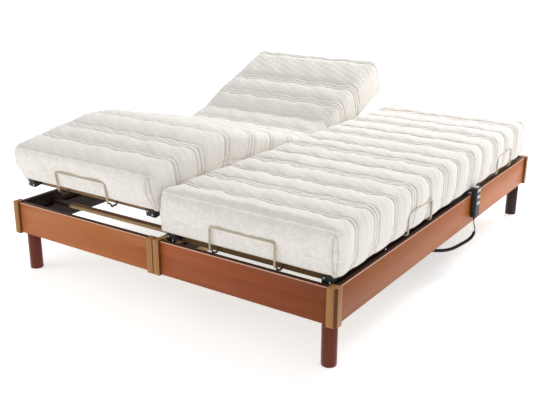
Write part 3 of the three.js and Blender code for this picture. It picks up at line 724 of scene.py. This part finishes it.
def raised(p):
    """Flat mattress points carried to the left unit's raised sections."""
    height = np.clip((p[:, 2] - MATTRESS_LOW) / MATTRESS_THICK, 0, 1)

    def turned(q, y0, angle):
        dy, dz = q[:, 1] - y0, q[:, 2] - HINGE_Z
        c, s = math.cos(angle), math.sin(angle)
        return np.stack([q[:, 0], y0 + c * dy - s * dz, HINGE_Z + s * dy + c * dz], 1)

    def share(y0, low, high, sign):
        reach = low + (high - low) * height
        return smoothstep((sign * (p[:, 1] - y0) + reach) / (2 * reach))[:, None]

    calf = turned(p, KNEE, LEFT_THIGH * KNEE_RATIO)
    knee_share = share(KNEE, *BEND_REACH["knee"], -1)
    leg = p + (calf - p) * knee_share
    leg = turned(leg, THIGH_HINGE, -LEFT_THIGH)
    back = turned(p, BACK_HINGE, LEFT_BACK)
    thigh_share = share(THIGH_HINGE, *BEND_REACH["thigh"], -1)
    back_share = share(BACK_HINGE, *BEND_REACH["back"], 1)
    return p * (1 - thigh_share - back_share) + leg * thigh_share + back * back_share


def corner_tuck(flat, lo, hi):
    """Height of the lens-shaped tuck sewn into each upright corner, and how deep in its crease a
    point is."""
    lens = np.sqrt(np.clip(1 - ((flat[:, 2] - TUCK_Z) / TUCK_REACH) ** 2, 0, 1))
    rise, crease = np.zeros(len(flat)), np.zeros(len(flat))
    for corner_x in (lo[0], hi[0]):
        for corner_y in (lo[1], hi[1]):
            dx, dy = np.abs(flat[:, 0] - corner_x), np.abs(flat[:, 1] - corner_y)
            around = np.where(np.minimum(dx, dy) < 1e-6, dx - dy, 1.0)
            from_fold = (np.abs(around) - TUCK_WIDTH * lens) / FOLD_WIDTH
            fold = np.exp(-(from_fold**2)) * smoothstep(lens * 3)
            padded = np.exp(-((around / (TUCK_WIDTH * 0.75)) ** 2)) * lens
            rise += TUCK_HEIGHT * padded - FOLD_DEPTH * fold
            crease += fold
    return rise, crease


def kept_apart(place, middle):
    """Squeezes a mattress's inner side so that it stays on its own side of the bed's centre line."""
    way = math.copysign(1, middle)
    out = place[:, 0] * way
    pressed = TOUCH + NEAR * np.exp((out - TOUCH - NEAR) / NEAR)
    place[:, 0] = np.where(out < TOUCH + NEAR, pressed, out) * way
    return place


def mattress_shape(side, blown, stitching, lo, hi):
    """Grid points of one finished mattress, its faces, the grid place of each point, the flat places
    and the marks that its material reads."""
    seed = WAVE_SEED[side]
    inset = EDGE_INSET
    xs = refined(lo[0], hi[0], 0.010, (lo[0] + inset, hi[0] - inset), 0.0025, inset)
    lines = [lo[1] + inset, *stitching, hi[1] - inset]
    ys = refined(lo[1], hi[1], 0.0095, lines, 0.0024, 0.0085)
    zs = refined(lo[2], hi[2], 0.0095, (SEAM_Z,), 0.0022, 0.0066)
    zs = np.array(sorted(set(zs) | {lo[2] + 0.004, lo[2] + 0.008}))
    ijk, faces = shell(len(xs), len(ys), len(zs))
    flat = np.stack([xs[ijk[:, 0]], ys[ijk[:, 1]], zs[ijk[:, 2]]], 1)
    place = soften(flat, lo, hi)
    place += swell_at(blown, (xs, ys, zs))[ijk[:, 0], ijk[:, 1], ijk[:, 2]]
    normal = vertex_normals(place, faces)
    x, y, z = flat.T
    on_top = smoothstep((z - SEAM_Z) / 0.01)
    on_ends = smoothstep((np.abs(y) - 0.994) / 0.004)
    clear_of_ends = 1 - smoothstep((np.abs(y) - 0.91) / 0.075)
    side_face = (ijk[:, 0] == 0) | (ijk[:, 0] == len(xs) - 1)
    upright = side_face | (ijk[:, 1] == 0) | (ijk[:, 1] == len(ys) - 1)
    upper = ijk[:, 2] == len(zs) - 1
    near = np.abs(y[:, None] - stitching).min(1)
    down_side = np.where(side_face, (0.85 + 0.15 * on_top) * clear_of_ends, 0)
    quilt = np.where(upper, on_top, down_side) * (1 - on_ends)
    line = np.exp(-((near / GROOVE_WIDTH) ** 2)) * quilt
    tuck, crease = corner_tuck(flat, lo, hi)
    rise = DEPTH[side] * (CROWN * plain_puff(y, stitching) * quilt - GROOVE_DEPTH * line)
    rise += 0.0014 * wave(seed, (x, 5, 1), (y, 3.1, 1), (x + y, 7, 0.6)) * on_top
    rise += 0.0009 * wave(seed, (x, 21, 1), (x + 2 * y, 13, 0.8)) * on_top
    seam = np.exp(-(((z - SEAM_Z) / 0.0030) ** 2))
    rise += (0.0018 * seam - 0.0026 * np.exp(-(((z - SEAM_Z + 0.0075) / 0.0040) ** 2))) * upright
    below = np.clip((SEAM_Z - z) / (SEAM_Z - lo[2]), 0, 1)
    crinkle = wave(seed, (y - 0.5 * z, 23, 1), (y * 1.3 - 0.8 * z, 41, 0.7), (x + z, 17, 0.6))
    rise += 0.0014 * crinkle * np.sin(math.pi * below) * upright + tuck * upright
    place = place + normal * rise[:, None]
    sway = wave(seed, (x, 5.3, 1), (x + 0.4 * y, 11.7, 0.45), (y, 1.3, 0.5)) * 0.0036
    place[:, 1] += sway * on_top * clear_of_ends
    place[:, 1] -= 0.030 * below**1.5 * side_face * clear_of_ends
    overhang = smoothstep((np.abs(x - (lo[0] + hi[0]) / 2) - OVERHANG) / 0.012)
    place[:, 2] -= SAG * overhang * smoothstep(below)
    if side == "left":
        by_hoop = np.exp(-(((x - HOOP_X) / 0.19) ** 6))
        free = smoothstep((z - lo[2] + 0.02) / 0.12) * (1 - by_hoop)
        above = smoothstep((z - HOOP_TOP) / 0.06) * by_hoop
        place[:, 1] -= FOOT_LEAN * (free + above) * smoothstep((-0.88 - y) / 0.12)
    hem = smoothstep(1 - (z - lo[2]) / 0.006) * upright
    # Painted shade for the material: in the stitched grooves, stronger on the sides, and in the corner
    # creases.
    drawn = line * DEPTH[side] * np.where(side_face, SIDE_MARK, TOP_MARK) + CREASE_MARK * crease * upright
    marks = np.stack([np.clip(drawn, 0, 1), hem, on_ends], 1)
    place = kept_apart(place, (lo[0] + hi[0]) / 2)
    if side == "left":
        place = raised(place)
    centred = flat - ((lo[0] + hi[0]) / 2, 0, 0)
    return place, faces, ijk, ys, centred, marks


def give_vectors(mesh, name, values):
    layer = mesh.attributes.new(name, "FLOAT_VECTOR", "POINT")
    layer.data.foreach_set("vector", np.ascontiguousarray(values, np.float32).ravel())


# The cover is cut at two Y places. BENDS gives each piece a hinge and a reach around it.
SPLITS = (-0.255, 0.150)
PIECES = ("calf", "thigh", "back")
BENDS = {"calf": (KNEE, -0.15), "thigh": (THIGH_HINGE, -0.13), "back": (BACK_HINGE, 0.15)}
STANDS_FOR = {"calf": ["calf"], "thigh": ["thigh", "seat"], "back": ["back"]}


def at_rest(side, y, z):
    """Where a point of the flat mattress is at rest."""
    p = np.array([[0.0, y, z]])
    return Vector(raised(p)[0] if side == "left" else p[0])


def add_mattress(side, blown, cloth):
    lo, hi = mattress_box(side)
    place, faces, ijk, ys, flat, marks = mattress_shape(side, blown, stitch_lines(side), lo, hi)
    normal = vertex_normals(place, faces)
    rows = ijk[faces][:, :, 1].min(1)
    cuts = [0] + [int(np.searchsorted(ys, s)) for s in SPLITS] + [len(ys)]
    for piece, first, last in zip(PIECES, cuts[:-1], cuts[1:]):
        own = faces[(rows >= first) & (rows < last)]
        used, back_to = np.unique(own, return_inverse=True)
        quads = back_to.reshape(-1, 4)
        obj = mesh_object(f"mattress_cover_{piece}_{side}", place[used], quads, cloth)
        obj.data.normals_split_custom_set_from_vertices([tuple(n) for n in normal[used]])
        give_vectors(obj.data, "cover_place", flat[used])
        give_vectors(obj.data, "cover_marks", marks[used])
        hinge, reach = BENDS[piece]
        mid = (lo[2] + hi[2]) / 2
        start, end = (at_rest(side, hinge + way * reach, mid) for way in (-1, 1))
        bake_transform(obj)
        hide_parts(*[f"mattress_{n}_{side}" for n in STANDS_FOR[piece]])


def mattress_box(side):
    """The box of one whole mattress laid flat. Its Y and Z come from the right unit, which rests flat."""
    lo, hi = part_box(f"mattress_seat_{side}")
    right_lo, right_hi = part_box("mattress_calf_right")[0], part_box("mattress_back_right")[1]
    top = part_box("mattress_seat_right")[1].z
    return (lo.x, right_lo.y, right_lo.z), (hi.x, right_hi.y, top)


cover_fabric = ticking("ticking", FABRIC)
for side in SIDES:
    box_lo, box_hi = mattress_box(side)
    add_mattress(side, blown_cover(box_lo, box_hi, stitch_lines(side)), cover_fabric)

# ---- corner caps of the calf sections -------------------------------------------------------

CAP = (0.046, 0.058, 0.034)
CAP_FACE_Y, CAP_Z, CAP_OUT = -0.988, 0.325, 0.004
SCREW_RADIUS, SCREW_PROUD = 0.0036, 0.0004
SCREW_SPOTS = ((-0.012, 0.006), (0.012, -0.006))


def calf_at_rest(side):
    """Carries something from the flat calf section to where that section rests."""
    if side == "right":
        return Matrix.Identity(4)

    def turn(y, angle):
        centre = Vector((0, y, HINGE_Z))
        return Matrix.Translation(centre) @ Matrix.Rotation(angle, 4, "X") @ Matrix.Translation(-centre)

    return turn(THIGH_HINGE, -LEFT_THIGH) @ turn(KNEE, LEFT_THIGH * KNEE_RATIO)


def corner_cap(name, size, material, taper):
    """A block with rounded edges whose end away from the foot is lower by taper."""
    bm = bmesh.new()
    bmesh.ops.create_cube(bm, size=1)
    for v in bm.verts:
        wide = taper if v.co.y > 0 else 1
        v.co = Vector((v.co.x * size[0], v.co.y * size[1], v.co.z * size[2] * wide))
    bmesh.ops.bevel(bm, geom=bm.edges[:], offset=0.005, segments=3, affect="EDGES", profile=0.6)
    return from_bmesh(name, bm, material)


def screw_head(name, radius, material):
    """Domed head with a slight hollow in its middle, facing -Y."""
    bm = bmesh.new()
    profile = ((1, 0.0), (1, -0.4), (0.8, -0.7), (0.3, -0.62))
    rings = [(radius * out, radius * up) for out, up in profile]
    turns = 16
    grid = []
    for r, y in rings:
        angles = [2 * math.pi * k / turns for k in range(turns)]
        grid.append([bm.verts.new((r * math.cos(a), y, r * math.sin(a))) for a in angles])
    for a, b in zip(grid[:-1], grid[1:]):
        for k in range(turns):
            bm.faces.new((a[k], a[(k + 1) % turns], b[(k + 1) % turns], b[k]))
    bm.faces.new(grid[0])
    bm.faces.new(grid[-1][::-1])
    return from_bmesh(name, bm, material, smooth=False)


black = plastic("black_plastic", (0.006, 0.006, 0.007), 0.5, wear=0.08)
screw_steel = plastic("screw_steel", (0.62, 0.61, 0.58), 0.28)
for side in SIDES:
    section_lo, section_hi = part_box(f"calf_frame_{side}")
    for edge, x, sign in (("outer", section_lo.x, 1), ("inner", section_hi.x, -1)):
        cap = corner_cap(f"corner_cap_{edge}_{side}", CAP, black, taper=0.86)
        place = Vector((x + sign * (CAP[0] / 2 - CAP_OUT), CAP_FACE_Y + CAP[1] / 2, CAP_Z))
        cap.matrix_world = calf_at_rest(side) @ Matrix.Translation(place)
        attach(cap, f"calf_{side}")
        for n, (dx, dz) in enumerate(SCREW_SPOTS):
            screw = screw_head(f"cap_screw_{n}_{edge}_{side}", SCREW_RADIUS, screw_steel)
            spot = Vector((place.x + dx, CAP_FACE_Y + SCREW_PROUD, CAP_Z + dz))
            screw.matrix_world = calf_at_rest(side) @ Matrix.Translation(spot)
            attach(screw, f"calf_{side}")

# ---- handset hook ---------------------------------------------------------------------------

HOOK_THICK, HOOK_DROP, HOOK_HALF_WIDTH = 0.0022, 0.026, 0.013


def bent_strip(name, route, thickness, y0, y1, material):
    """A flat strip bent along an X-Z route, with square corners at its bends and eased edges."""
    line = np.array(route)
    ways = np.diff(line, axis=0)
    ways /= np.linalg.norm(ways, axis=1)[:, None]
    sides = np.stack([-ways[:, 1], ways[:, 0]], 1)
    offsets = np.vstack([sides[:1], sides[:-1] + sides[1:], sides[-1:]]) * thickness / 2
    outline = np.vstack([line + offsets, (line - offsets)[::-1]])
    bm = bmesh.new()
    face = bm.faces.new([bm.verts.new((x, y0, z)) for x, z in outline])
    grown = bmesh.ops.extrude_face_region(bm, geom=[face])
    moved = [v for v in grown["geom"] if isinstance(v, bmesh.types.BMVert)]
    bmesh.ops.translate(bm, verts=moved, vec=(0, y1 - y0, 0))
    obj = from_bmesh(name, bm, material, smooth=False)
    return bevel(obj, 0.0006)


grey = plastic("grey_plastic", (0.50, 0.51, 0.52), 0.4)
handset_lo, handset_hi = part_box("handset")
rail_lo, rail_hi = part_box("side_rail_right")
inside = rail_lo.x - HOOK_THICK / 2 - 0.0004
above_rail = rail_hi.z + HOOK_THICK / 2 + 0.0003
behind = rail_hi.x + HOOK_THICK / 2 - 0.0004
above_handset = handset_hi.z + HOOK_THICK / 2
hook_route = [
    (inside, rail_hi.z - HOOK_DROP), (inside, above_rail), (behind, above_rail),
    (behind, above_handset), (handset_hi.x - 0.004, above_handset),
]
hook_middle = (handset_lo.y + handset_hi.y) / 2
hook_from, hook_to = hook_middle - HOOK_HALF_WIDTH, hook_middle + HOOK_HALF_WIDTH
hook = bent_strip("handset_hook", hook_route, HOOK_THICK, hook_from, hook_to, grey)
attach(hook, "base")

# ---- materials of the CAD nodes -------------------------------------------------------------

RAIL_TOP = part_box("foot_rail_left")[1].z
CORNER = tuple(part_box("corner_post_head_right")[1])[:2]
RAIL_BEVEL, HARD_EDGE, WELD_WITHIN = 0.0012, 35, 1e-5

# The right foot rail darkens towards its right end, and the right side rail towards the foot: painted shade,
# as the light and sheen on them fall off.
cherry_foot_left_painted_sheen = wood("cherry_foot_left_painted_sheen", 0, CHERRY_LEFT_PAINTED_SHEEN, inner=(1, 1), edge=(1, -1, RAIL_TOP))
cherry_foot_right_painted_shade = wood(
    "cherry_foot_right_painted_shade", 0, CHERRY_RIGHT_PAINTED_SHADE, inner=(1, 1), edge=(1, -1, RAIL_TOP), painted_shade_drift=(0, 0.1, 0.8, 0.66)
)
cherry_head = wood("cherry_head", 0, CHERRY_FAR_PAINTED_SHADE, inner=(1, -1), edge=(1, 1, RAIL_TOP))
cherry_right_painted_light = wood(
    "cherry_right_painted_light", 1, CHERRY_SIDE_PAINTED_LIGHT, inner=(0, -1), edge=(0, 1, RAIL_TOP), painted_shade_drift=(1, 0.5, -0.9, 0.60)
)
cherry_left = wood("cherry_left", 1, CHERRY_FAR_PAINTED_SHADE, inner=(0, 1), edge=(0, -1, RAIL_TOP))
beech_upright = strip_wood("beech_upright", TAN, CORNER)
beech_long = wood("beech_long", 0, BAR, 0.5, 0.3)
under_left, under_right = (
    frame_wood(f"under_frame_{side}", BAR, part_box(f"fixed_frame_{side}")[0].x + BAR_DARK_END)
    for side in SIDES
)
calf_wood = calf_frame_wood("calf_frame_wood", BAR)
stained = wood("stained_frame", 1, tone_set(STAIN_AND_SHADE, 0.3), 0.5, 0.3)
birch = wood("birch_slats", 0, BIRCH, 0.5, 0.25)
leg_wood = wood("leg_wood", 2, LEG, 0.3, 0.3, coat=0.15)
leg_wood_shaded = wood("leg_wood_shaded", 2, LEG_SHADED, 0.3, 0.3, coat=0.15)
ivory = coated_metal("ivory_wire", IVORY, 0.32)
foot_wires = {}
for side in SIDES:
    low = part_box(f"foot_hoop_{side}")[0].z + WIRE_DARK_TO
    foot_wires[side] = wire_coat(f"ivory_foot_{side}", IVORY, WIRE_DARK, low, low + WIRE_FADE)
steel_black = coated_metal("lifter_steel", (0.03, 0.03, 0.033), 0.38)

# The material of each CAD node, by the longest key that its name starts with.
LOOKS = {
    "foot_rail_left": cherry_foot_left_painted_sheen, "foot_rail_right": cherry_foot_right_painted_shade, "head_rail": cherry_head,
    "side_rail_left": cherry_left, "side_rail_right": cherry_right_painted_light, "centre_rail": beech_long,
    "corner_post": beech_upright, "foot_strip": beech_upright, "head_strip": beech_upright,
    "leg_foot": leg_wood, "leg_head": leg_wood_shaded, "leg_centre": leg_wood_shaded,
    "fixed_frame_left": under_left, "fixed_frame_right": under_right,
    "back_frame": beech_long, "thigh_frame": stained, "calf_frame": calf_wood,
    "back_slats": birch, "thigh_slats": birch, "calf_slats": birch,
    "drive_housing": black, "back_hoop": ivory, "thigh_hoop": ivory,
    "foot_hoop_left": foot_wires["left"], "foot_hoop_right": foot_wires["right"],
    "back_lifter": steel_black, "leg_lifter": steel_black, "handset": black, "handset_rocker": grey,
}
BEVELLED = (
    "foot_rail", "head_rail", "side_rail", "corner_post", "foot_strip", "head_strip", "leg_foot", "leg_head",
)


def dress(name, node):
    found = next(LOOKS[k] for k in sorted(LOOKS, key=len, reverse=True) if name.startswith(k))
    node.data.materials.clear()
    node.data.materials.append(found)
    shade_smooth(node.data)
    weld = node.modifiers.new("weld", "WELD")
    weld.merge_threshold = WELD_WITHIN
    if name.startswith(BEVELLED):
        bevel(node, RAIL_BEVEL, HARD_EDGE)
    else:
        split = node.modifiers.new("edges", "EDGE_SPLIT")
        split.split_angle = math.radians(HARD_EDGE)


for name, node in nodes.items():
    if not node.hide_render:
        dress(name, node)

# ---- floor and light ------------------------------------------------------------------------

REACH, FLOOR_GLOW, WORLD_GLOW = 40, 0.56, 0.58
FLOOR_DARK, FLOOR_PALE = (0.80, 0.80, 0.80), (0.84, 0.84, 0.84)

floor_shader = Shader("floor", 0.9, Emission_Color=(1, 1, 1, 1), Emission_Strength=FLOOR_GLOW)
floor_shader.colour(floor_shader.mix(floor_shader.noise(3), FLOOR_DARK, FLOOR_PALE))
corners = [(-REACH, -REACH, 0), (REACH, -REACH, 0), (REACH, REACH, 0), (-REACH, REACH, 0)]
floor = mesh_object("floor", corners, [(0, 1, 2, 3)], floor_shader.material)

world = bpy.data.worlds.new("studio")
world.use_nodes = True
background = world.node_tree.nodes["Background"]
background.inputs["Color"].default_value = (1, 1, 1, 1)
background.inputs["Strength"].default_value = WORLD_GLOW
bpy.context.scene.world = world
bpy.context.scene.view_settings.view_transform = "Standard"


def soft_light(name, place, aim, size, power):
    data = bpy.data.lights.new(name, "AREA")
    data.shape = "RECTANGLE"
    data.size, data.size_y = size
    data.energy = power
    lamp = link(bpy.data.objects.new(name, data))
    lamp.location = place
    lamp.rotation_euler = (Vector(aim) - Vector(place)).to_track_quat("-Z", "Y").to_euler()


soft_light("key", (0.9, 4.4, 3.2), (0.1, 0.0, 0.4), (3.0, 2.0), 255)
soft_light("fill", (-3.4, -3.6, 2.2), (0, 0, 0.3), (2.4, 1.8), 40)
